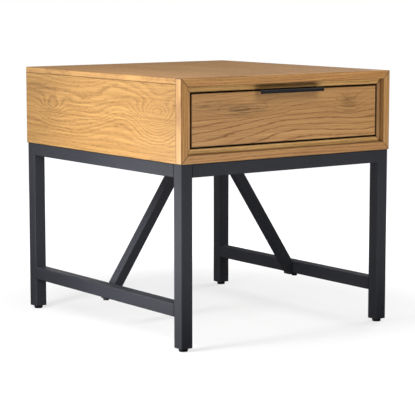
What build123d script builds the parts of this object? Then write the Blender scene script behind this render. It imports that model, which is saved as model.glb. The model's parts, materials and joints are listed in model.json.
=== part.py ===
from build123d import *
import os

# A side table with one drawer: an oak case on an open base of square steel tube.
# Millimetres. X runs along the front, Y from front to back, Z up from the floor.
# The origin is on the floor, under the middle of the table and its pull.

# ---- Overall -------------------------------------------------------------------
case_width = 560
case_depth = 610
total_height = 558
case_height = 173
pull_projection = 10            # how far the pull stands in front of the case

case_bottom = total_height - case_height
front = pull_projection - (case_depth + pull_projection) / 2
back = front + case_depth
case_side = case_width / 2      # distance of each outer side from the middle

# ---- Case ----------------------------------------------------------------------
top_thickness = 12.5
back_thickness = 12
board_thickness = 17.5          # sides and bottom, and the face of the mitred outer frame
frame_depth = 18
ledge_face = 11.5               # the recessed inner frame
ledge_recess = 10
panel_arris = 0.5               # eased edges, which leave a fine V at each seam
frame_arris = 0.3

inner_side = case_side - board_thickness
inner_back = back - back_thickness
panel_front = front + frame_depth
ledge_front = front + ledge_recess
opening_side = inner_side - ledge_face
opening_low = case_bottom + board_thickness + ledge_face
opening_high = total_height - board_thickness - ledge_face

# ---- Drawer --------------------------------------------------------------------
front_gap = 3.5                 # between the drawer front and the ledge
front_recess = 9.5
front_thickness = 18
box_wall = 12
box_rise = 10.5                 # drawer box above the lower edge of its front
box_drop = 17.5                 # and below the upper edge
box_rear_room = 50.5            # between the drawer box and the back panel
tray_thickness = 5
tray_rise = 8                   # drawer bottom above the lower edge of the box
groove_depth = 5
groove_clearance = 0.1
front_screw_rise = 30           # screws for the drawer front, from the box's lower edge
front_screw_drop = 20           # from its upper edge
front_screw_reach = 95          # and from each side

front_side = opening_side - front_gap
front_low = opening_low + front_gap
front_high = opening_high - front_gap
front_face = front + front_recess
box_front = front_face + front_thickness
box_back = inner_back - box_rear_room
box_low = front_low + box_rise
box_high = front_high - box_drop

# ---- Pull ----------------------------------------------------------------------
pull_length = 169
pull_sheet = 2
pull_lip = 7
pull_flange = 17.5
pull_bend = 1.5
pull_screw_pitch = 60
pull_screw_drop = 8             # below the drawer front's top edge

# ---- Runners, in section: u from the packer to the drawer, v up from the middle --
runner_width = 12.7
runner_sheet = 1.2
runner_setback = 2.5            # front end behind the drawer front
runner_rear_room = 17.5         # rear end in front of the drawer box's rear end
ball_diameter = 3.5
ball_clearance = 0.05
ball_space = ball_diameter + 2 * ball_clearance
case_member_half = 22.5
case_member_reach = 9.6
middle_member_half = case_member_half - runner_sheet - ball_space
middle_member_start = 2.6
middle_member_reach = 10.8
drawer_member_half = middle_member_half - runner_sheet - ball_space
drawer_member_start = 5
strip_thickness = 0.8
strip_width = 5.4
strip_length = 200
strip_hole_clearance = 0.1
ball_pitch = 30
balls_per_row = 6
outer_ball_place = 6.4
inner_ball_place = 8
packer_height = 60
runner_screw_ends = 40          # first and last screw in from the runner's ends

packer_face = opening_side
box_side = packer_face - runner_width
runner_middle = (box_low + box_high) / 2
runner_front = box_front + runner_setback
runner_back = box_back - runner_rear_room

# ---- Base ----------------------------------------------------------------------
tube_size = 28
tube_wall = 1.5
tube_corner = 2.5
base_inset = 1.5                # base inside the outline of the case
stretcher_bottom = 70.5
brace_size = 23
brace_wall = 1.5
brace_corner = 2
brace_spread = 130              # between the braces' centre lines at the cross rail
brace_foot_rise = 7.5           # centre line above the stretcher's lower face
brace_end_gap = 1.2
tab_thickness = 2.5
tab_width = 22
plate_size = 60
plate_thickness = 4
plate_screw_place = 18          # in from both rails

tube_side = case_side - base_inset                   # outer faces of the base
tube_inner = tube_side - tube_size
tube_middle = tube_side - tube_size / 2
base_front = front + base_inset
base_back = back - base_inset
base_middle = (base_front + base_back) / 2
rail_bottom = case_bottom - tube_size
stretcher_middle = stretcher_bottom + tube_size / 2

# ---- Feet ----------------------------------------------------------------------
foot_height = 7
foot_diameter = 19
foot_edge = 1
stem_diameter = 8
stem_clearance = 0.05
stem_length = 28
plug_height = 20

# ---- Fasteners -----------------------------------------------------------------
hole_clearance = 0.25           # round a shank, in a hole it passes through
pilot_clearance = 0.05          # round a shank, in the hole it holds in
bolt_head = (13, 5.5)           # diameter, height
bolt_shank = (8, 12.5)          # diameter, length
bolt_socket = (5, 3)            # across flats, depth
nut_flats = 13
nut_height = 6.5
case_screw_head = (9, 3)
case_screw_shank = (5, 16)
front_screw_head = (8, 2.5)
front_screw_shank = (4, 24)
pull_screw_head = (7, 2)
pull_screw_shank = (3.5, 14)
runner_screw_head = (7, 1.2)
case_runner_shank = (3.5, 11)
drawer_runner_shank = (3.5, 9)


# ---- Shapes --------------------------------------------------------------------
def slab(x_span, y_span, z_span):
    """A block between two X, two Y and two Z values."""
    spans = (x_span, y_span, z_span)
    size = [high - low for low, high in spans]
    middle = [(high + low) / 2 for low, high in spans]
    return Pos(*middle) * Box(*size)


def board(x_span, y_span, z_span, arris=panel_arris):
    """A wooden board with its edges eased."""
    block = slab(x_span, y_span, z_span)
    return chamfer(block.edges(), arris)


def tube(length, size=tube_size, wall=tube_wall, corner=tube_corner):
    """A square tube standing on the origin."""
    bore = size - 2 * wall
    section = RectangleRounded(size, size, corner) - RectangleRounded(bore, bore, corner - wall)
    return extrude(section, amount=length)


def tube_along_x(x_span, y, z):
    """A square tube between two X values, on a centre line."""
    return Pos(x_span[0], y, z) * Rot(0, 90, 0) * tube(x_span[1] - x_span[0])


def tube_along_y(x, y_span, z):
    """A square tube between two Y values, on a centre line."""
    return Pos(x, y_span[0], z) * Rot(-90, 0, 0) * tube(y_span[1] - y_span[0])


def rod(start, direction, diameter, length):
    """A round bar from a point, in a direction."""
    return Plane(origin=start, z_dir=direction) * Pos(0, 0, length / 2) * Cylinder(diameter / 2, length)


def screw(seat, direction, head, shank):
    """A screw whose head stands on its seat and whose shank runs in a direction."""
    away = tuple(-value for value in direction)
    return rod(seat, away, *head) + rod(seat, direction, *shank)


def hole(seat, direction, shank, clearance):
    """What a screw's shank takes out of a piece."""
    diameter, length = shank
    return rod(seat, direction, diameter + 2 * clearance, length + clearance)


def drilled(piece, seats, direction, shank, clearance):
    """A piece with a hole for each screw."""
    for seat in seats:
        piece = piece - hole(seat, direction, shank, clearance)
    return piece


def group(solids):
    """Separate solids that share a node."""
    return Compound(children=[solid for part in solids for solid in part.solids()])


def mirrored(piece, plane=Plane.YZ):
    """A piece's mirror image, solid by solid."""
    solids = [solid.mirror(plane) for solid in piece.solids()]
    return solids[0] if len(solids) == 1 else Compound(children=solids)


def both_sides(piece):
    """A piece on the left, and its mirror image on the right."""
    return {"left": piece, "right": mirrored(piece)}


def mitred_frame(half_width, z_span, face, y_span):
    """The four mitred members of a frame that stands in the front of the case."""
    low, high = z_span
    inside = half_width - face
    outlines = {
        "top": [(-inside, high - face), (inside, high - face), (half_width, high), (-half_width, high)],
        "bottom": [(-half_width, low), (half_width, low), (inside, low + face), (-inside, low + face)],
        "left": [(-half_width, low), (-inside, low + face), (-inside, high - face), (-half_width, high)],
        "right": [(half_width, low), (half_width, high), (inside, high - face), (inside, low + face)],
    }
    plane = Plane(origin=(0, y_span[1], 0), x_dir=(1, 0, 0), z_dir=(0, -1, 0))
    members = {}
    for side, points in outlines.items():
        member = extrude(plane * Polygon(*points, align=None), amount=y_span[1] - y_span[0])
        members[side] = chamfer(member.edges(), frame_arris)
    return members


def runner_channel(u_span, half_height, web_at):
    """A left-hand channel of sheet steel along Y, its web at one end of the u span."""
    u_low, u_high = u_span
    web = (u_low, u_low + runner_sheet) if web_at == "low" else (u_high - runner_sheet, u_high)
    y_span = (runner_front, runner_back)
    flange_in = half_height - runner_sheet
    walls = [
        (web, (-half_height, half_height)),
        (u_span, (flange_in, half_height)),
        (u_span, (-half_height, -flange_in)),
    ]
    channel = None
    for u_wall, v_wall in walls:
        x_wall = [u - packer_face for u in u_wall]
        z_wall = [v + runner_middle for v in v_wall]
        block = slab(x_wall, y_span, z_wall)
        channel = block if channel is None else channel + block
    return channel


def ball_strips(u_place, v_place):
    """Two left-hand ball strips, above and below the runner's middle, with their balls."""
    x = u_place - packer_face
    y_middle = (runner_front + runner_back) / 2
    first = y_middle - ball_pitch * (balls_per_row - 1) / 2
    solids = []
    for side in (-1, 1):
        z = runner_middle + side * v_place
        strip = slab(
            (x - strip_width / 2, x + strip_width / 2),
            (y_middle - strip_length / 2, y_middle + strip_length / 2),
            (z - strip_thickness / 2, z + strip_thickness / 2),
        )
        for index in range(balls_per_row):
            centre = (x, first + index * ball_pitch, z)
            strip = strip - Pos(*centre) * Cylinder(ball_diameter / 2 + strip_hole_clearance, ball_space)
            solids.append(Pos(*centre) * Sphere(ball_diameter / 2))
        solids.append(strip)
    return group(solids)


# ---- Case ----------------------------------------------------------------------
def plate_screw_seats():
    """Where the case screws sit under the base's corner plates."""
    x = tube_inner - plate_screw_place
    z = case_bottom - plate_thickness
    ends = (base_front + tube_size + plate_screw_place, base_back - tube_size - plate_screw_place)
    return [(side * x, y, z) for side in (-1, 1) for y in ends]


def runner_screw_seats(x):
    """Where a left-hand runner's screws sit, at a web whose face is at X."""
    places = (
        runner_front + runner_screw_ends,
        (runner_front + runner_back) / 2,
        runner_back - runner_screw_ends,
    )
    return [(x, y, runner_middle) for y in places]


def case_pieces():
    """The case: panels, the outer frame, the ledge and the runner packers."""
    panel_top = total_height - top_thickness
    full_side = (-case_side, case_side)
    inner_span = (-inner_side, inner_side)
    side_panel = board((-case_side, -inner_side), (panel_front, back), (case_bottom, panel_top))
    bottom_panel = board(
        inner_span, (panel_front, inner_back), (case_bottom, case_bottom + board_thickness)
    )
    pieces = {
        "top_panel": board(full_side, (panel_front, back), (panel_top, total_height)),
        "bottom_panel": drilled(
            bottom_panel, plate_screw_seats(), (0, 0, 1), case_screw_shank, pilot_clearance
        ),
        "back_panel": board(inner_span, (inner_back, back), (case_bottom, panel_top)),
    }
    for side, piece in both_sides(side_panel).items():
        pieces[f"{side}_side_panel"] = piece

    outer = mitred_frame(case_side, (case_bottom, total_height), board_thickness, (front, panel_front))
    ledge_height = (case_bottom + board_thickness, total_height - board_thickness)
    ledge = mitred_frame(inner_side, ledge_height, ledge_face, (ledge_front, panel_front))
    for side in outer:
        pieces[f"front_frame_{side}"] = outer[side]
        pieces[f"drawer_ledge_{side}"] = ledge[side]

    packer = board(
        (-inner_side, -packer_face),
        (panel_front, runner_back),
        (runner_middle - packer_height / 2, runner_middle + packer_height / 2),
    )
    seats = runner_screw_seats(runner_sheet - packer_face)
    packer = drilled(packer, seats, (-1, 0, 0), case_runner_shank, pilot_clearance)
    for side, piece in both_sides(packer).items():
        pieces[f"{side}_runner_packer"] = piece
    return pieces


# ---- Drawer --------------------------------------------------------------------
def front_screw_seats():
    """Where the screws that hold the drawer front sit, inside the drawer box."""
    heights = (box_low + front_screw_rise, box_high - front_screw_drop)
    reach = box_side - front_screw_reach
    return [(side * reach, box_front + box_wall, z) for side in (-1, 1) for z in heights]


def pull_screw_seats():
    """Where the pull's screws sit, on its rear flange."""
    y = box_front + pull_sheet
    return [(step * pull_screw_pitch, y, front_high - pull_screw_drop) for step in (-1, 0, 1)]


def drawer_pieces():
    """The drawer: its show front and a plain box with a thin bottom in grooves."""
    show_front = board((-front_side, front_side), (front_face, box_front), (front_low, front_high))
    show_front = drilled(
        show_front, front_screw_seats(), (0, -1, 0), front_screw_shank, pilot_clearance
    )
    show_front = drilled(show_front, pull_screw_seats(), (0, -1, 0), pull_screw_shank, pilot_clearance)

    height = (box_low, box_high)
    inside = box_side - box_wall
    tray_low = box_low + tray_rise
    tray_high = tray_low + tray_thickness
    groove = slab(
        (-inside - groove_depth, inside + groove_depth),
        (box_front + box_wall - groove_depth, box_back - box_wall + groove_depth),
        (tray_low - groove_clearance, tray_high + groove_clearance),
    )
    tray = slab(
        (groove_clearance - inside - groove_depth, inside + groove_depth - groove_clearance),
        (
            box_front + box_wall - groove_depth + groove_clearance,
            box_back - box_wall + groove_depth - groove_clearance,
        ),
        (tray_low, tray_high),
    )
    inner_front = board((-inside, inside), (box_front, box_front + box_wall), height) - groove
    inner_front = drilled(
        inner_front, front_screw_seats(), (0, -1, 0), front_screw_shank, hole_clearance
    )
    box_wall_side = board((-box_side, -inside), (box_front, box_back), height) - groove
    seats = runner_screw_seats(-box_side - runner_sheet)
    box_wall_side = drilled(box_wall_side, seats, (1, 0, 0), drawer_runner_shank, pilot_clearance)
    pieces = {
        "drawer_front": show_front,
        "drawer_inner_front": inner_front,
        "drawer_back": board((-inside, inside), (box_back - box_wall, box_back), height) - groove,
        "drawer_bottom": tray,
    }
    for side, piece in both_sides(box_wall_side).items():
        pieces[f"drawer_{side}_side"] = piece
    return pieces


def pull():
    """A strip of sheet bent over the drawer front's top edge, with a short lip in front."""
    lip_front = front - pull_projection
    flange_back = box_front + pull_sheet
    sheet_top = front_high + pull_sheet
    half = (-pull_length / 2, pull_length / 2)
    lip = slab(half, (lip_front, lip_front + pull_sheet), (sheet_top - pull_lip, sheet_top))
    plate = slab(half, (lip_front, flange_back), (front_high, sheet_top))
    flange = slab(half, (box_front, flange_back), (sheet_top - pull_flange, sheet_top))
    strip = lip + plate + flange
    bends = strip.edges().filter_by(Axis.X).group_by(Axis.Z)[-1]
    strip = fillet(bends, pull_bend)
    return drilled(strip, pull_screw_seats(), (0, -1, 0), pull_screw_shank, hole_clearance)


# ---- Runners -------------------------------------------------------------------
def runner_pieces():
    """Both telescopic runners: three members each, with their ball strips."""
    case_web = runner_sheet - packer_face
    drawer_web = -box_side - runner_sheet
    case_member = runner_channel((0, case_member_reach), case_member_half, "low")
    case_member = drilled(
        case_member, runner_screw_seats(case_web), (-1, 0, 0), case_runner_shank, hole_clearance
    )
    middle_member = runner_channel((middle_member_start, middle_member_reach), middle_member_half, "low")
    drawer_member = runner_channel((drawer_member_start, runner_width), drawer_member_half, "high")
    drawer_member = drilled(
        drawer_member, runner_screw_seats(drawer_web), (1, 0, 0), drawer_runner_shank, hole_clearance
    )
    half_space = ball_space / 2
    members = {
        "case_member": case_member,
        "middle_member": middle_member,
        "drawer_member": drawer_member,
        "outer_balls": ball_strips(outer_ball_place, middle_member_half + half_space),
        "inner_balls": ball_strips(inner_ball_place, drawer_member_half + half_space),
    }
    pieces = {}
    for name, member in members.items():
        for side, piece in both_sides(member).items():
            pieces[f"{side}_runner_{name}"] = piece
    return pieces


# ---- Base ----------------------------------------------------------------------
def brace_foot_bolt():
    """Where the left brace's bolt sits, under its tab."""
    return (-tube_middle, base_middle, stretcher_bottom - tab_thickness)


def brace_pieces():
    """The left brace and the tab that its bolt passes through."""
    foot = Vector(-tube_inner, base_middle, stretcher_bottom + brace_foot_rise)
    head = Vector(-brace_spread / 2, base_middle, rail_bottom)
    run = (head - foot).normalized()
    overrun = 2 * brace_size
    length = (head - foot).length + 2 * overrun
    plane = Plane(origin=foot - run * overrun, x_dir=(0, 1, 0), z_dir=run)
    section_room = (base_middle - brace_size, base_middle + brace_size)
    end = brace_end_gap - tube_inner
    room = slab((end, 0), section_room, (stretcher_bottom, rail_bottom))
    brace = (plane * tube(length, brace_size, brace_wall, brace_corner)) & room

    sole = brace.faces().sort_by(Axis.Z)[0].bounding_box()
    bolt = brace_foot_bolt()
    half_width = tab_width / 2
    tab = slab(
        (bolt[0], sole.max.X),
        (base_middle - half_width, base_middle + half_width),
        (bolt[2], stretcher_bottom),
    )
    tab = tab + rod(bolt, (0, 0, 1), tab_width, tab_thickness)
    tab = drilled(tab, [bolt], (0, 0, 1), bolt_shank, hole_clearance)
    return brace, tab


def brace_bolt():
    """A low socket-head bolt, its head below the left tab."""
    bolt = brace_foot_bolt()
    flats, depth = bolt_socket
    body = screw(bolt, (0, 0, 1), bolt_head, bolt_shank)
    socket = Pos(bolt[0], bolt[1], bolt[2] - bolt_head[1]) * extrude(
        RegularPolygon(flats / 2, 6, major_radius=False), amount=depth
    )
    return body - socket


def weld_nut():
    """A hexagon nut on the stretcher's lower wall, inside it."""
    bolt = brace_foot_bolt()
    block = extrude(RegularPolygon(nut_flats / 2, 6, major_radius=False), amount=nut_height)
    nut = Pos(bolt[0], bolt[1], stretcher_bottom + tube_wall) * block
    return drilled(nut, [bolt], (0, 0, 1), bolt_shank, pilot_clearance)


def corner_plate():
    """The triangular plate in the front left corner, level with the top of the rails."""
    x = -tube_inner
    y = base_front + tube_size
    outline = Polygon((x, y), (x + plate_size, y), (x, y + plate_size), align=None)
    plate = Pos(0, 0, case_bottom - plate_thickness) * extrude(outline, amount=plate_thickness)
    seat = (x + plate_screw_place, y + plate_screw_place, case_bottom - plate_thickness)
    return drilled(plate, [seat], (0, 0, 1), case_screw_shank, hole_clearance)


def leg_centres():
    """The name and the centre line of each leg."""
    ends = {"front": base_front + tube_size / 2, "rear": base_back - tube_size / 2}
    sides = {"left": -tube_middle, "right": tube_middle}
    return {f"{end}_{side}": (x, y) for end, y in ends.items() for side, x in sides.items()}


def base_pieces():
    """The steel base: legs, rails, stretchers, the cross rail and the braces."""
    pieces = {}
    for corner, (x, y) in leg_centres().items():
        pieces[f"{corner}_leg"] = Pos(x, y, foot_height) * tube(case_bottom - foot_height)

    rail_middle = rail_bottom + tube_size / 2
    across = (-tube_inner, tube_inner)
    along = (base_front + tube_size, base_back - tube_size)
    for name, y in (("front", along[0]), ("rear", along[1] + tube_size)):
        pieces[f"{name}_rail"] = tube_along_x(across, y - tube_size / 2, rail_middle)
    pieces["cross_rail"] = tube_along_x(across, base_middle, rail_middle)

    side_rail = tube_along_y(-tube_middle, along, rail_middle)
    stretcher = tube_along_y(-tube_middle, along, stretcher_middle)
    stretcher = drilled(stretcher, [brace_foot_bolt()], (0, 0, 1), bolt_shank, hole_clearance)
    brace, tab = brace_pieces()
    for name, left_piece in (("rail", side_rail), ("stretcher", stretcher), ("brace", brace)):
        for side, piece in both_sides(left_piece).items():
            pieces[f"{side}_{name}"] = piece

    front_plates = list(both_sides(corner_plate()).values())
    middle_plane = Plane(origin=(0, base_middle, 0), z_dir=(0, 1, 0))
    rear_plates = [mirrored(plate, middle_plane) for plate in front_plates]
    pieces["corner_plates"] = group(front_plates + rear_plates)
    pieces["brace_tabs"] = group(both_sides(tab).values())
    pieces["brace_nuts"] = group(both_sides(weld_nut()).values())
    return pieces


# ---- Feet and fasteners --------------------------------------------------------
def foot(x, y):
    """A levelling foot: a round pad with a threaded stem, screwed fully in."""
    pad = Pos(x, y, foot_height / 2) * Cylinder(foot_diameter / 2, foot_height)
    pad = chamfer(pad.edges(), foot_edge)
    return pad + rod((x, y, foot_height), (0, 0, 1), stem_diameter, stem_length)


def leg_plug(x, y):
    """The plastic plug that closes a leg's lower end and holds the foot's stem."""
    bore = tube_size - 2 * tube_wall
    section = RectangleRounded(bore, bore, tube_corner - tube_wall)
    section = section - Circle(stem_diameter / 2 + stem_clearance)
    return Pos(x, y, foot_height) * extrude(section, amount=plug_height)


def foot_pieces():
    """Four feet, and the plugs that they turn in."""
    pieces = {f"{corner}_foot": foot(*centre) for corner, centre in leg_centres().items()}
    pieces["leg_plugs"] = group(leg_plug(*centre) for centre in leg_centres().values())
    return pieces


def screws(seats, direction, head, shank):
    """One screw at each seat."""
    return [screw(seat, direction, head, shank) for seat in seats]


def runner_screws(x, direction, shank):
    """A row of screws through a left-hand runner's web, and its mirror image."""
    row = group(screws(runner_screw_seats(x), direction, runner_screw_head, shank))
    return group(both_sides(row).values())


def fastener_pieces():
    """Every screw and bolt, one node for each kind and place."""
    into_drawer_front = (0, -1, 0)
    return {
        "brace_bolts": group(both_sides(brace_bolt()).values()),
        "case_screws": group(
            screws(plate_screw_seats(), (0, 0, 1), case_screw_head, case_screw_shank)
        ),
        "drawer_front_screws": group(
            screws(front_screw_seats(), into_drawer_front, front_screw_head, front_screw_shank)
        ),
        "pull_screws": group(
            screws(pull_screw_seats(), into_drawer_front, pull_screw_head, pull_screw_shank)
        ),
        "runner_case_screws": runner_screws(runner_sheet - packer_face, (-1, 0, 0), case_runner_shank),
        "runner_drawer_screws": runner_screws(-box_side - runner_sheet, (1, 0, 0), drawer_runner_shank),
    }


# ---- The table -----------------------------------------------------------------
def table():
    """Every piece of the table, by name."""
    return {
        **case_pieces(),
        **drawer_pieces(),
        "drawer_pull": pull(),
        **runner_pieces(),
        **base_pieces(),
        **foot_pieces(),
        **fastener_pieces(),
    }


os.makedirs("parts", exist_ok=True)
for name, piece in table().items():
    export_step(piece, f"parts/{name}.step")
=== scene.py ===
import json
import math

import bpy
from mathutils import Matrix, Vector


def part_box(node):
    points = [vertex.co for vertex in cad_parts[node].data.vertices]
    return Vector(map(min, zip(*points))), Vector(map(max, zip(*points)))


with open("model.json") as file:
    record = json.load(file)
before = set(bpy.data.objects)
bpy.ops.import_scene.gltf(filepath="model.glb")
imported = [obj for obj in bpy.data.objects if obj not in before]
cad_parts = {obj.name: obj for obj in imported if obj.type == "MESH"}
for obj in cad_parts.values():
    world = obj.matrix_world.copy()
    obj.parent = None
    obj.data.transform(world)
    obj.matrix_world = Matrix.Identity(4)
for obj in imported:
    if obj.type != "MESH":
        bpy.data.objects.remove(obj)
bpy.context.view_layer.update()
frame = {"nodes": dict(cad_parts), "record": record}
NODES = frame["nodes"]

AXES = {"x": 0, "y": 1, "z": 2}
FACING = (0.5, 0.7)  # a face looks along an axis from about this much of its normal


# ---- Node helpers --------------------------------------------------------------
class Graph:
    """Builds one material's nodes. Numbers, tuples and sockets are all accepted as inputs."""

    def __init__(self, name):
        self.material = bpy.data.materials.new(name)
        self.material.use_nodes = True
        self.tree = self.material.node_tree
        self.tree.nodes.clear()
        self.position = self.add("TexCoord").outputs["Object"]

    def add(self, kind, inputs=None, **settings):
        node = self.tree.nodes.new("ShaderNode" + kind)
        for key, value in settings.items():
            setattr(node, key, value)
        for key, value in (inputs or {}).items():
            self.feed(node.inputs[key], value)
        return node

    def feed(self, socket, value):
        if isinstance(value, bpy.types.NodeSocket):
            self.tree.links.new(value, socket)
        else:
            socket.default_value = value

    def math(self, operation, *values, clamp=False):
        node = self.add("Math", operation=operation, use_clamp=clamp)
        for socket, value in zip(node.inputs, values):
            self.feed(socket, value)
        return node.outputs[0]

    def between(self, factor, first, second):
        """first where factor is 0, second where it is 1."""
        gap = self.math("SUBTRACT", second, first)
        return self.math("ADD", first, self.math("MULTIPLY", factor, gap))

    def vector(self, x, y, z):
        return self.add("CombineXYZ", {"X": x, "Y": y, "Z": z}).outputs[0]

    def facing(self, axis):
        """1 on faces that look along an axis, and 0 on the others."""
        normal = self.add("SeparateXYZ", {"Vector": self.add("NewGeometry").outputs["Normal"]})
        return self.remap(self.math("ABSOLUTE", normal.outputs[AXES[axis]]), *FACING)

    def scaled(self, point, scale, shift=(0, 0, 0)):
        return self.add("Mapping", {"Vector": point, "Scale": scale, "Location": shift}).outputs[0]

    def noise(self, point, detail=2.0, roughness=0.5, distortion=0.0):
        inputs = {
            "Vector": point,
            "Scale": 1.0,
            "Detail": detail,
            "Roughness": roughness,
            "Distortion": distortion,
        }
        return self.add("TexNoise", inputs).outputs["Fac"]

    def speckle(self, cells, detail, roughness):
        """Noise with the same number of cells in a metre each way."""
        return self.noise(self.scaled(self.position, (cells, cells, cells)), detail, roughness)

    def remap(self, value, low, high, to_low=0.0, to_high=1.0, smooth=False):
        inputs = {
            "Value": value,
            "From Min": low,
            "From Max": high,
            "To Min": to_low,
            "To Max": to_high,
        }
        kind = "SMOOTHSTEP" if smooth else "LINEAR"
        return self.add("MapRange", inputs, interpolation_type=kind, clamp=True).outputs["Result"]

    def mix(self, factor, first, second):
        node = self.add("Mix", data_type="RGBA", blend_type="MIX", clamp_factor=True)
        self.feed(node.inputs["Factor"], factor)
        for socket, value in ((node.inputs[6], first), (node.inputs[7], second)):
            self.feed(socket, value if isinstance(value, bpy.types.NodeSocket) else (*value, 1.0))
        return node.outputs[2]

    def ramp(self, value, low, first, high, second):
        """A colour that goes from first at low to second at high."""
        node = self.add("ValToRGB", {"Fac": value})
        elements = node.color_ramp.elements
        elements[0].position, elements[0].color = low, (*first, 1.0)
        elements[1].position, elements[1].color = high, (*second, 1.0)
        return node.outputs["Color"]

    def bump(self, height, strength, distance):
        inputs = {"Height": height, "Strength": strength, "Distance": distance}
        return self.add("Bump", inputs).outputs["Normal"]

    def finish(self, **inputs):
        named = {key.replace("_", " "): value for key, value in inputs.items()}
        shader = self.add("BsdfPrincipled", named)
        output = self.add("OutputMaterial")
        self.tree.links.new(shader.outputs[0], output.inputs["Surface"])
        return self.material


def dress(name, material):
    """Gives a CAD node one material."""
    slots = NODES[name].data.materials
    slots.clear()
    slots.append(material)


# ---- Wood ----------------------------------------------------------------------
OAK_LIGHT = (0.480, 0.266, 0.106)
OAK_MIDDLE = (0.362, 0.186, 0.068)
OAK_DARK = (0.205, 0.088, 0.028)
OAK_PORE = (0.100, 0.038, 0.012)
BIRCH_LIGHT = (0.64, 0.48, 0.30)
BIRCH_MIDDLE = (0.52, 0.37, 0.21)
BIRCH_DARK = (0.38, 0.24, 0.12)
BIRCH_FLECK = (0.36, 0.22, 0.11)

# How fine each noise in the oak is: cells in a metre along the grain, across it and into the board.
WAVE_SCALE = (2.2, 9.0, 4)
WANDER_SCALE = (16, 90, 90)
FIBRE_SCALE = (9, 560, 560)
STREAK_SCALE = (5.0, 210, 210)
PORE_SCALE = (70, 1500, 1500)
DASH_SCALE = (26, 420, 420)
RAY_SCALE = (110, 900, 900)
PATCH_SCALE = (2.2, 9, 9)
FLECK_SCALE = (14, 300, 300)

# Lengths are in metres. A shade multiplies the wood's colour.
WAVE_RINGS = 10  # how many rings a line can wander over, for waves of 1
WANDER_RINGS = 0.7
SHARP_SIDE = 0.3  # a dark line's sharp side, as a share of its soft side
CALM_FADE = 0.012  # half of the stretch over which the lines grow faint
CALM_LEVEL = 0.36
EDGE_FADE = (0.0003, 0.0016)  # how far in from a board's edge its dark line starts and stops fading
EDGE_SHADE = 0.50
GAP_EDGE_SHADE = 0.30  # on the boards round the drawer's gap, where the darker edge line is painted shade
MITRE_FADE = (0.0002, 0.0011)
MITRE_SHADE = 0.30
MITRE_COSINE = 0.707  # of 45 degrees
GAP_SHADE_START = 0.0015  # how far behind the drawer's face the edges in its gap turn dark, as painted shade
GAP_SHADE_FADE = 0.0008
GAP_SHADE_DEPTH = 0.78


def edge_distance(g, node_name):
    """How far a point is from the nearest edge of a box-shaped board: its second smallest face distance."""
    low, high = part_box(node_name)
    split = g.add("SeparateXYZ", {"Vector": g.position})
    gaps = []
    for axis in range(3):
        middle = (low[axis] + high[axis]) / 2
        half = (high[axis] - low[axis]) / 2
        away = g.math("ABSOLUTE", g.math("SUBTRACT", split.outputs[axis], middle))
        gaps.append(g.math("SUBTRACT", half, away))
    least = g.math("MINIMUM", g.math("MINIMUM", gaps[0], gaps[1]), gaps[2])
    total = g.math("ADD", g.math("ADD", gaps[0], gaps[1]), gaps[2])
    most = g.math("MAXIMUM", g.math("MAXIMUM", gaps[0], gaps[1]), gaps[2])
    return g.math("SUBTRACT", g.math("SUBTRACT", total, least), most)


def board_middle(node_name, grain, across):
    """Where a board's middle is, along its grain and across it."""
    low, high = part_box(node_name)
    return [(low[AXES[axis]] + high[AXES[axis]]) / 2 for axis in (grain, across)]


def placed(spots, middle):
    """Spots that are given from a board's middle, at their real place."""
    return [((middle[0] + x, middle[1] + y), reach, rise) for (x, y), reach, rise in spots]


def swirl(g, u, v, centre, reach, rise):
    """A smooth hump round a centre. In the ring field it makes nested ovals."""
    across = g.math("DIVIDE", g.math("SUBTRACT", u, centre[0]), reach[0])
    up = g.math("DIVIDE", g.math("SUBTRACT", v, centre[1]), reach[1])
    square = g.math("ADD", g.math("MULTIPLY", across, across), g.math("MULTIPLY", up, up))
    return g.math("MULTIPLY", g.math("EXPONENT", g.math("MULTIPLY", square, -1.0)), rise)


def mitre_line(g, node_name):
    """How far a point of a mitred frame member is from the nearer mitre, seen from the front."""
    low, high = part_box(node_name)
    split = g.add("SeparateXYZ", {"Vector": g.position})
    half_width = max(-low[0], high[0])
    sideways = g.math("SUBTRACT", half_width, g.math("ABSOLUTE", split.outputs["X"]))
    upright = node_name.endswith(("left", "right"))
    below = g.math("SUBTRACT", high[2], split.outputs["Z"])
    above = g.math("SUBTRACT", split.outputs["Z"], low[2])
    if upright:
        inward = g.math("MINIMUM", below, above)
    else:
        inward = below if node_name.endswith("top") else above
    return g.math("MULTIPLY", g.math("ABSOLUTE", g.math("SUBTRACT", sideways, inward)), MITRE_COSINE)


def ring_lines(g, u, v, log, seed, rings, lean, waves, swirls, line):
    """How strongly each point belongs to a growth ring's dark line, from 0 to 1."""
    # Rings are level lines of a slow field, so they wander, fork into arches and close into ovals.
    slow = g.noise(g.scaled(log, WAVE_SCALE, (seed, seed * 0.7, 0)), 1.6, 0.45, 0.25)
    wander = g.noise(g.scaled(log, WANDER_SCALE, (0, seed, 0)), 3.0, 0.6)
    phase = g.math("MULTIPLY", v, rings)
    phase = g.math("ADD", phase, g.math("MULTIPLY", u, lean))
    phase = g.math("ADD", phase, g.math("MULTIPLY", g.math("SUBTRACT", slow, 0.5), waves * WAVE_RINGS))
    phase = g.math("ADD", phase, g.math("MULTIPLY", wander, WANDER_RINGS))
    for centre, reach, lift in swirls:
        phase = g.math("ADD", phase, swirl(g, u, v, centre, reach, lift))

    # Each ring rises fast to its dark line and fades slowly, and some rings are fainter than others.
    ring = g.math("FRACT", phase)
    strength = g.add("TexWhiteNoise", {"W": g.math("FLOOR", phase)}, noise_dimensions="1D")
    sharp = line * SHARP_SIDE
    rise = g.remap(ring, 0.0, sharp, 0.0, 1.0, smooth=True)
    fall = g.remap(ring, sharp, sharp + line, 1.0, 0.0, smooth=True)
    level = g.remap(strength.outputs["Value"], 0.0, 1.0, 0.45, 1.0)
    return g.math("MULTIPLY", g.math("MULTIPLY", rise, fall), level)


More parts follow.
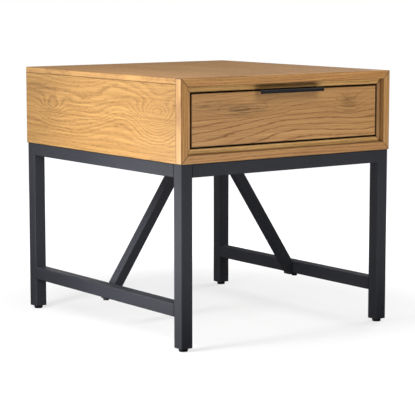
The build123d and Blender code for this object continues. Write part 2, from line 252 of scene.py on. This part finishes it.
def board_shade(g, node_name, split, mitred, shy_of, shade):
    """Darkens a shade along a board's edges and at its mitres, and, as painted shade, inside the drawer's
    gap: a darker edge line there and dark faces behind shy_of.
    """
    # Every board gets a dark line along its edges; round the drawer's gap it is darker, as painted shade.
    edge_dark = EDGE_SHADE if shy_of is None else GAP_EDGE_SHADE
    edge = g.remap(edge_distance(g, node_name), *EDGE_FADE, edge_dark, 1.0, smooth=True)
    shade = g.math("MULTIPLY", shade, edge)
    if mitred:
        mitre = g.remap(mitre_line(g, node_name), *MITRE_FADE, MITRE_SHADE, 1.0, smooth=True)
        shade = g.math("MULTIPLY", shade, mitre)
    if shy_of is not None:
        # Painted shade: faces inside the drawer's gap, behind shy_of, are darkened as if shadowed there.
        gap_shade = g.remap(split.outputs["Y"], shy_of, shy_of + GAP_SHADE_FADE, 0.0, GAP_SHADE_DEPTH, smooth=True)
        gap_shade = g.math("MULTIPLY", gap_shade, g.math("SUBTRACT", 1.0, g.facing("y")))
        shade = g.math("MULTIPLY", shade, g.math("SUBTRACT", 1.0, gap_shade))
    return shade


def oak(
    node_name, grain, across, seed,
    rings=150.0, lean=0.0, waves=3.2, swirls=(), smudges=(), contrast=1.0, line=0.60,
    calm_over=None, tint=(1.0, 1.0, 1.0), tone=1.0, mitred=False, shy_of=None, side_light_tint=None,
):
    """Flat-cut oak with open pores. grain and across are the axes of the grain and of the board's width.
    rings is how many growth rings cross a metre of width, lean how many a metre of length adds,
    and waves how far they wander.
    Each swirl bends the rings round a place. Each smudge darkens the streaks there, or lightens them if
    its last number is negative.
    contrast is how dark a ring's line is, and line how much of the ring's width it fades over.
    calm_over is how far over the board's middle the lines grow faint, except at the smudges.
    shy_of is a Y value behind which a board's edges are darkened with painted shade, inside the gap round
    the drawer.
    The tint of a board's faces that look left or right is painted light, standing in for how light falls on
    those faces."""
    g = Graph(f"oak_{node_name}")
    split = g.add("SeparateXYZ", {"Vector": g.position})
    inward = ({"x", "y", "z"} - {grain, across}).pop()
    u, v, w = (split.outputs[AXES[axis]] for axis in (grain, across, inward))

    # A board's ends carry a band of the same veneer, with its grain along the band.
    on_end = g.facing(grain)
    u, v = g.between(on_end, u, v), g.between(on_end, v, w)
    log = g.vector(u, v, w)
    middle = board_middle(node_name, grain, across)
    swirls, smudges = placed(swirls, middle), placed(smudges, middle)
    lines = ring_lines(g, u, v, log, seed, rings, lean, waves, swirls, line)

    # Fibres and pores are long and narrow along the grain, and the pores lie in the rings' lines.
    fibre = g.noise(g.scaled(log, FIBRE_SCALE, (seed, 0, 0)), 3.0, 0.62)
    streak = g.noise(g.scaled(log, STREAK_SCALE, (0, 0, seed)), 3.0, 0.6)
    pore = g.noise(g.scaled(log, PORE_SCALE, (0, seed, seed)), 1.5, 0.5)
    pores = g.math("MULTIPLY", g.remap(pore, 0.54, 0.66), g.remap(lines, 0.0, 0.7, 0.22, 1.0))
    dashes = g.noise(g.scaled(log, DASH_SCALE, (seed, 0, seed)), 2.0, 0.6)
    lines = g.math("MULTIPLY", lines, g.remap(dashes, 0.30, 0.60, 0.50, 1.0))
    ray = g.noise(g.scaled(log, RAY_SCALE, (seed, seed, 0)), 0.0, 0.5)
    patch = g.noise(g.scaled(log, PATCH_SCALE, (seed, seed, seed)), 2.0, 0.5)
    flecks = g.remap(g.noise(g.scaled(log, FLECK_SCALE, (seed, 0, 0)), 2.0, 0.6), 0.44, 0.58)

    if calm_over is not None:
        start = middle[1] + calm_over
        calm = g.remap(v, start - CALM_FADE, start + CALM_FADE, 1.0, CALM_LEVEL, smooth=True)
        for centre, reach, _ in smudges:
            calm = g.math("MAXIMUM", calm, swirl(g, u, v, centre, reach, 1.0))
        lines = g.math("MULTIPLY", lines, calm)
    colour = g.ramp(streak, 0.34, OAK_MIDDLE, 0.66, OAK_LIGHT)
    colour = g.mix(g.math("MULTIPLY", lines, 0.62 * contrast, clamp=True), colour, OAK_DARK)
    colour = g.mix(g.remap(fibre, 0.40, 0.70, 0.0, 0.42), colour, OAK_DARK)
    colour = g.mix(g.remap(ray, 0.66, 0.76, 0.0, 0.25), colour, OAK_LIGHT)
    colour = g.mix(g.math("MULTIPLY", pores, 0.70), colour, OAK_PORE)

    shade = g.remap(patch, 0.3, 0.7, 0.92 * tone, 1.08 * tone)
    for centre, reach, darkness in smudges:
        smudge = g.math("MULTIPLY", swirl(g, u, v, centre, reach, darkness), flecks)
        shade = g.math("MULTIPLY", shade, g.math("SUBTRACT", 1.0, smudge))
    shade = board_shade(g, node_name, split, mitred, shy_of, shade)
    tints = g.vector(*tint)
    # Painted light: faces that look left or right get their own tint, as if lit differently from the front.
    if side_light_tint is not None:
        tints = g.mix(g.facing("x"), tints, side_light_tint)
    colour = g.add("VectorMath", {0: colour, 1: tints}, operation="MULTIPLY").outputs[0]
    colour = g.add("VectorMath", {0: colour, "Scale": shade}, operation="SCALE").outputs[0]

    rough = g.math("ADD", g.remap(fibre, 0.2, 0.8, 0.40, 0.52), g.math("MULTIPLY", pores, 0.22))
    height = g.math("SUBTRACT", g.math("MULTIPLY", fibre, 0.25), pores)
    height = g.math("SUBTRACT", height, g.math("MULTIPLY", lines, 0.25))
    return g.finish(
        Base_Color=colour,
        Roughness=rough,
        Normal=g.bump(height, 0.35, 0.00025),
        Specular_IOR_Level=0.4,
    )


# Each swirl or smudge has its centre, from the board's middle, its reach, and how strong it is.
# Centre and reach go along the grain first, then across it.
LEFT_SWIRLS = (
    ((-0.229, 0.00475), (0.075, 0.040), 7.0),
    ((-0.229, 0.02075), (0.028, 0.016), 1.5),
    ((0.181, 0.00875), (0.042, 0.024), 3.6),
    ((0.006, 0.00475), (0.070, 0.020), 2.0),
)
LEFT_SMUDGES = (
    ((0.236, 0.04975), (0.060, 0.010), 0.28),
    ((0.181, 0.00875), (0.040, 0.024), 0.16),
    ((-0.184, 0.01475), (0.070, 0.035), -0.12),
)
DRAWER_SWIRLS = (
    ((-0.120, 0.0165), (0.075, 0.012), 3.6),
    ((0.175, 0.0225), (0.036, 0.019), 2.2),
    ((0.020, -0.0315), (0.120, 0.030), -0.8),
)
DRAWER_SMUDGES = (
    ((-0.120, 0.0165), (0.066, 0.012), 0.62),
    ((0.175, 0.0205), (0.024, 0.022), 0.50),
    ((-0.215, 0.0305), (0.035, 0.008), 0.40),
)
RIGHT_SWIRLS = LEFT_SWIRLS[:1]

# Where the painted shade inside the drawer's gap begins.
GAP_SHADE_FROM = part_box("drawer_front")[0].y + GAP_SHADE_START
FRAME = {"waves": 0.6, "mitred": True}
LEDGE = {"waves": 0.5, "mitred": True, "shy_of": GAP_SHADE_FROM}
# Painted light: a tint for the top and bottom ledges, as if lit.
LEDGE_PAINTED_LIGHT_TINT = (1.0, 1.12, 1.0)
TOP_PANEL = {
    "rings": 90.0, "waves": 1.2, "contrast": 0.8,
    "tint": (0.85, 0.91, 1.05), "side_light_tint": (0.96, 1.0, 0.90),
}
LEFT_SIDE = {
    "rings": 95.0, "waves": 1.6, "swirls": LEFT_SWIRLS, "smudges": LEFT_SMUDGES,
    "tone": 0.85, "tint": (0.99, 1.02, 0.82),
}
DRAWER_FRONT = {
    "rings": 76.0, "lean": -5.5, "waves": 0.4, "contrast": 2.7, "line": 0.24, "calm_over": 0.0065,
    "swirls": DRAWER_SWIRLS, "smudges": DRAWER_SMUDGES,
    "tone": 1.10, "tint": (1.0, 1.0, 0.94), "shy_of": GAP_SHADE_FROM,
}
FRAME_TOP = {**FRAME, "tone": 1.18, "tint": (1.05, 1.0, 0.85)}
FRAME_BOTTOM = {**FRAME, "tone": 1.10, "tint": (1.0, 0.96, 0.86)}
FRAME_LEFT = {**FRAME, "tone": 0.96, "tint": (1.12, 1.06, 0.78), "side_light_tint": (1.07, 1.15, 1.24)}
FRAME_RIGHT = {**FRAME, "tone": 1.14, "tint": (1.0, 1.02, 0.95)}

# Each oak board has the axes of its grain and of its width, a seed, and what is its own.
for name, grain, across, seed, own in (
    ("top_panel", "y", "x", 3.1, TOP_PANEL),
    ("left_side_panel", "y", "z", 7.3, LEFT_SIDE),
    ("right_side_panel", "y", "z", 12.9, {"swirls": RIGHT_SWIRLS, "tint": (1.0, 0.98, 0.85)}),
    ("back_panel", "x", "z", 21.4, {}),
    ("bottom_panel", "y", "x", 30.2, {}),
    ("drawer_front", "x", "z", 5.6, DRAWER_FRONT),
    ("front_frame_top", "x", "z", 41.7, FRAME_TOP),
    ("front_frame_bottom", "x", "z", 44.3, FRAME_BOTTOM),
    ("front_frame_left", "z", "x", 47.9, FRAME_LEFT),
    ("front_frame_right", "z", "x", 50.5, FRAME_RIGHT),
    # The ledges' tones and the ledge tint are painted light and shade: the top, bottom and left ledges are
    # lightened as if lit, and the right ledge darkened as if in shadow.
    ("drawer_ledge_top", "x", "z", 53.2, {**LEDGE, "tone": 1.52, "tint": LEDGE_PAINTED_LIGHT_TINT}),
    ("drawer_ledge_bottom", "x", "z", 56.8, {**LEDGE, "tone": 1.48, "tint": LEDGE_PAINTED_LIGHT_TINT}),
    ("drawer_ledge_left", "z", "x", 59.1, {**LEDGE, "tone": 1.22}),
    ("drawer_ledge_right", "z", "x", 62.6, {**LEDGE, "tone": 0.80}),
):
    dress(name, oak(name, grain, across, seed, **own))


def birch(node_name, grain, across, seed):
    """Pale, close-grained wood under clear lacquer."""
    g = Graph(f"birch_{node_name}")
    split = g.add("SeparateXYZ", {"Vector": g.position})
    inward = ({"x", "y", "z"} - {grain, across}).pop()
    log = g.vector(*(split.outputs[AXES[axis]] for axis in (grain, across, inward)))
    slow = g.noise(g.scaled(log, (1.2, 7, 7), (seed, 0, 0)), 2.0, 0.4, 0.2)
    ring = g.math("FRACT", g.math("MULTIPLY", slow, 16.0))
    line = g.remap(ring, 0.0, 0.4, 1.0, 0.0, smooth=True)
    fibre = g.noise(g.scaled(log, (10, 500, 500), (0, seed, 0)), 3.0, 0.6)
    fleck = g.remap(g.noise(g.scaled(log, (160, 1400, 1400), (0, 0, seed)), 1.0, 0.5), 0.62, 0.72)
    colour = g.ramp(fibre, 0.3, BIRCH_MIDDLE, 0.7, BIRCH_LIGHT)
    colour = g.mix(g.math("MULTIPLY", line, 0.18), colour, BIRCH_DARK)
    colour = g.mix(g.math("MULTIPLY", fleck, 0.35), colour, BIRCH_FLECK)
    height = g.math("SUBTRACT", g.math("MULTIPLY", fibre, 0.4), fleck)
    return g.finish(
        Base_Color=colour,
        Roughness=g.remap(fibre, 0.2, 0.8, 0.38, 0.5),
        Normal=g.bump(height, 0.25, 0.0002),
        Specular_IOR_Level=0.4,
    )


for name, grain, across, seed in (
    ("drawer_inner_front", "x", "z", 1.2),
    ("drawer_back", "x", "z", 4.5),
    ("drawer_left_side", "y", "z", 8.1),
    ("drawer_right_side", "y", "z", 11.7),
    ("drawer_bottom", "x", "y", 15.3),
    ("left_runner_packer", "y", "z", 19.9),
    ("right_runner_packer", "y", "z", 24.4),
):
    dress(name, birch(name, grain, across, seed))


# ---- Metal and plastic ---------------------------------------------------------
DUST = (0.20, 0.20, 0.20)
ZINC_DARK = (0.20, 0.21, 0.225)
ZINC_LIGHT = (0.31, 0.32, 0.335)
PLASTIC_DARK = (0.004, 0.004, 0.0045)
PLASTIC_LIGHT = (0.007, 0.007, 0.008)


def coating(name, base, lighter, roughness):
    """A sprayed and baked coat: an even colour with a fine pebbled skin."""
    g = Graph(name)
    skin = g.speckle(2600, 2.0, 0.55)
    peel = g.speckle(420, 1.5, 0.5)
    cloud = g.speckle(7, 3.0, 0.5)
    dust = g.remap(g.speckle(900, 0.0, 0.5), 0.74, 0.8)
    colour = g.mix(g.remap(cloud, 0.3, 0.7), base, lighter)
    colour = g.mix(g.math("MULTIPLY", dust, 0.12), colour, DUST)
    rough = g.remap(cloud, 0.3, 0.7, roughness - 0.04, roughness + 0.04)
    rough = g.math("ADD", rough, g.math("MULTIPLY", skin, 0.05))
    height = g.math("ADD", g.math("MULTIPLY", skin, 0.5), peel)
    return g.finish(
        Base_Color=colour,
        Roughness=rough,
        Normal=g.bump(height, 0.3, 0.00006),
        Specular_IOR_Level=0.2,
    )


def zinc(name):
    """Zinc plate with rolling marks and faint blooms."""
    g = Graph(name)
    rolled = g.noise(g.scaled(g.position, (900, 6, 900)), 3.0, 0.6)
    bloom = g.speckle(55, 4.0, 0.6)
    colour = g.ramp(bloom, 0.3, ZINC_DARK, 0.7, ZINC_LIGHT)
    rough = g.math("ADD", g.remap(rolled, 0.3, 0.7, 0.48, 0.62), g.remap(bloom, 0.4, 0.8, 0.0, 0.10))
    return g.finish(Base_Color=colour, Metallic=1.0, Roughness=rough, Normal=g.bump(rolled, 0.2, 0.00005))


def plastic(name):
    """Moulded black plastic with a light spark texture."""
    g = Graph(name)
    spark = g.speckle(1800, 2.0, 0.6)
    cloud = g.speckle(60, 2.0, 0.5)
    colour = g.mix(g.remap(cloud, 0.3, 0.7), PLASTIC_DARK, PLASTIC_LIGHT)
    return g.finish(
        Base_Color=colour,
        Roughness=g.remap(spark, 0.3, 0.7, 0.48, 0.62),
        Normal=g.bump(spark, 0.3, 0.00008),
        Specular_IOR_Level=0.2,
    )


SLOT_MATERIALS = {
    "powder_coat": coating("powder_coat", (0.0190, 0.0200, 0.0250), (0.0230, 0.0240, 0.0300), 0.56),
    "pull_black": coating("pull_black", (0.010, 0.010, 0.012), (0.014, 0.014, 0.017), 0.45),
    "black_steel": coating("black_steel", (0.010, 0.010, 0.010), (0.018, 0.017, 0.016), 0.38),
    "black_plastic": plastic("black_plastic"),
    "zinc_steel": zinc("zinc_steel"),
}
for part in frame["record"]["subparts"]:
    if part["material_slot"] in SLOT_MATERIALS:
        dress(part["node"], SLOT_MATERIALS[part["material_slot"]])


# ---- Stage ---------------------------------------------------------------------
CAMERA_PLACE = (-2.2099, -3.0140, 0.7430)
CAMERA_YAW = math.radians(36.323)
CAMERA_PITCH = math.radians(7.587)
CAMERA_LENS = 145.007  # millimetres
CAMERA_REACH = 100.0
WORLD_SEEN = 1.0
WORLD_CAST = 0.05
FLOOR_HALF = 60.0
FLOOR_GREY = (0.21, 0.21, 0.21)
FLOOR_LIGHT_GREY = (0.22, 0.22, 0.22)
FLOOR_GLOW_AND_PAINTED_SHADE = (0.675, 1.0)
FLOOR_PAINTED_SHADE_REACH = (0.40, 1.0)  # how far from the middle the floor has its first, dimmer glow, which paints shade under the object, and its second

# Each area light has its name and place, its width and height, its watts, and where it points.
MIDDLE = (0, 0, 0.35)
LIGHTS = (
    ("left", (-1.35, -0.17, 1.0), 0.26, 0.9, 18.5, MIDDLE),
    ("left_over", (-1.0, -0.12, 1.35), 0.36, 0.9, 12.0, (-0.28, -0.05, 0.3)),
    ("left_low", (-0.60, -0.10, 0.2), 0.40, 0.32, 3.0, (0.0, -0.10, 0.2)),
    ("left_back", (-1.3, 1.0, 0.8), 1.0, 1.0, 4.5, MIDDLE),
    ("front_high", (0.1, -1.8, 1.9), 1.8, 1.2, 26.0, MIDDLE),
    ("front_low", (0.05, -0.85, 0.14), 1.0, 0.22, 1.3, (0.05, 0.0, 0.10)),
    ("front_bounce", (0.0, -1.15, 0.02), 2.0, 1.2, 13.0, (0.0, -1.15, 1.0)),
    ("top_right", (1.4, 0.1, 1.7), 1.2, 1.2, 25.0, MIDDLE),
    ("right", (1.8, 0.2, 0.5), 1.4, 0.6, 14.0, (0.0, 0.2, 0.3)),
    ("back", (0.3, 2.2, 0.3), 1.8, 0.5, 12.0, (0.3, 0.0, 0.3)),
)


def area_light(name, place, width, height, power, target):
    data = bpy.data.lights.new(name, "AREA")
    data.shape, data.size, data.size_y = "RECTANGLE", width, height
    data.energy = power
    light = bpy.data.objects.new(name, data)
    light.visible_camera = False
    bpy.context.scene.collection.objects.link(light)
    light.location = place
    light.rotation_euler = (Vector(target) - Vector(place)).to_track_quat("-Z", "Y").to_euler()


def make_floor():
    """A pale floor that glows: a little less under the object, as painted shade, where it keeps a faint
    shadow.
    """
    mesh = bpy.data.meshes.new("floor")
    corners = [(x * FLOOR_HALF, y * FLOOR_HALF, 0) for x, y in ((-1, -1), (1, -1), (1, 1), (-1, 1))]
    mesh.from_pydata(corners, [], [(0, 1, 2, 3)])
    floor = bpy.data.objects.new("floor", mesh)
    bpy.context.scene.collection.objects.link(floor)
    g = Graph("floor_white")
    cloud = g.speckle(3, 2.0, 0.5)
    away = g.add("VectorMath", {0: g.position}, operation="LENGTH").outputs["Value"]
    material = g.finish(
        Base_Color=g.mix(cloud, FLOOR_GREY, FLOOR_LIGHT_GREY),
        Roughness=0.9,
        Specular_IOR_Level=0.0,
        Emission_Color=(1.0, 1.0, 1.0, 1.0),
        # The glow is dimmer near the middle: painted shade under the object.
        Emission_Strength=g.remap(away, *FLOOR_PAINTED_SHADE_REACH, *FLOOR_GLOW_AND_PAINTED_SHADE, smooth=True),
    )
    mesh.materials.append(material)
    floor.visible_diffuse = False
    floor.visible_glossy = False


def make_world():
    """White where the camera looks past the object, and much dimmer as a light."""
    world = bpy.data.worlds.new("studio")
    bpy.context.scene.world = world
    world.use_nodes = True
    tree = world.node_tree
    path = tree.nodes.new("ShaderNodeLightPath")
    level = tree.nodes.new("ShaderNodeMapRange")
    level.inputs["To Min"].default_value = WORLD_CAST
    level.inputs["To Max"].default_value = WORLD_SEEN
    tree.links.new(path.outputs["Is Camera Ray"], level.inputs["Value"])
    background = tree.nodes["Background"]
    background.inputs["Color"].default_value = (1, 1, 1, 1)
    tree.links.new(level.outputs["Result"], background.inputs["Strength"])


def make_camera():
    data = bpy.data.cameras.new("camera")
    data.lens = CAMERA_LENS
    data.clip_end = CAMERA_REACH
    camera = bpy.data.objects.new("camera", data)
    bpy.context.scene.collection.objects.link(camera)
    camera.location = CAMERA_PLACE
    level = math.cos(CAMERA_PITCH)
    sight = Vector((math.sin(CAMERA_YAW) * level, math.cos(CAMERA_YAW) * level, -math.sin(CAMERA_PITCH)))
    camera.rotation_euler = sight.to_track_quat("-Z", "Y").to_euler()
    bpy.context.scene.camera = camera


make_floor()
make_world()
for light in LIGHTS:
    area_light(*light)
make_camera()
bpy.context.scene.view_settings.view_transform = "Standard"
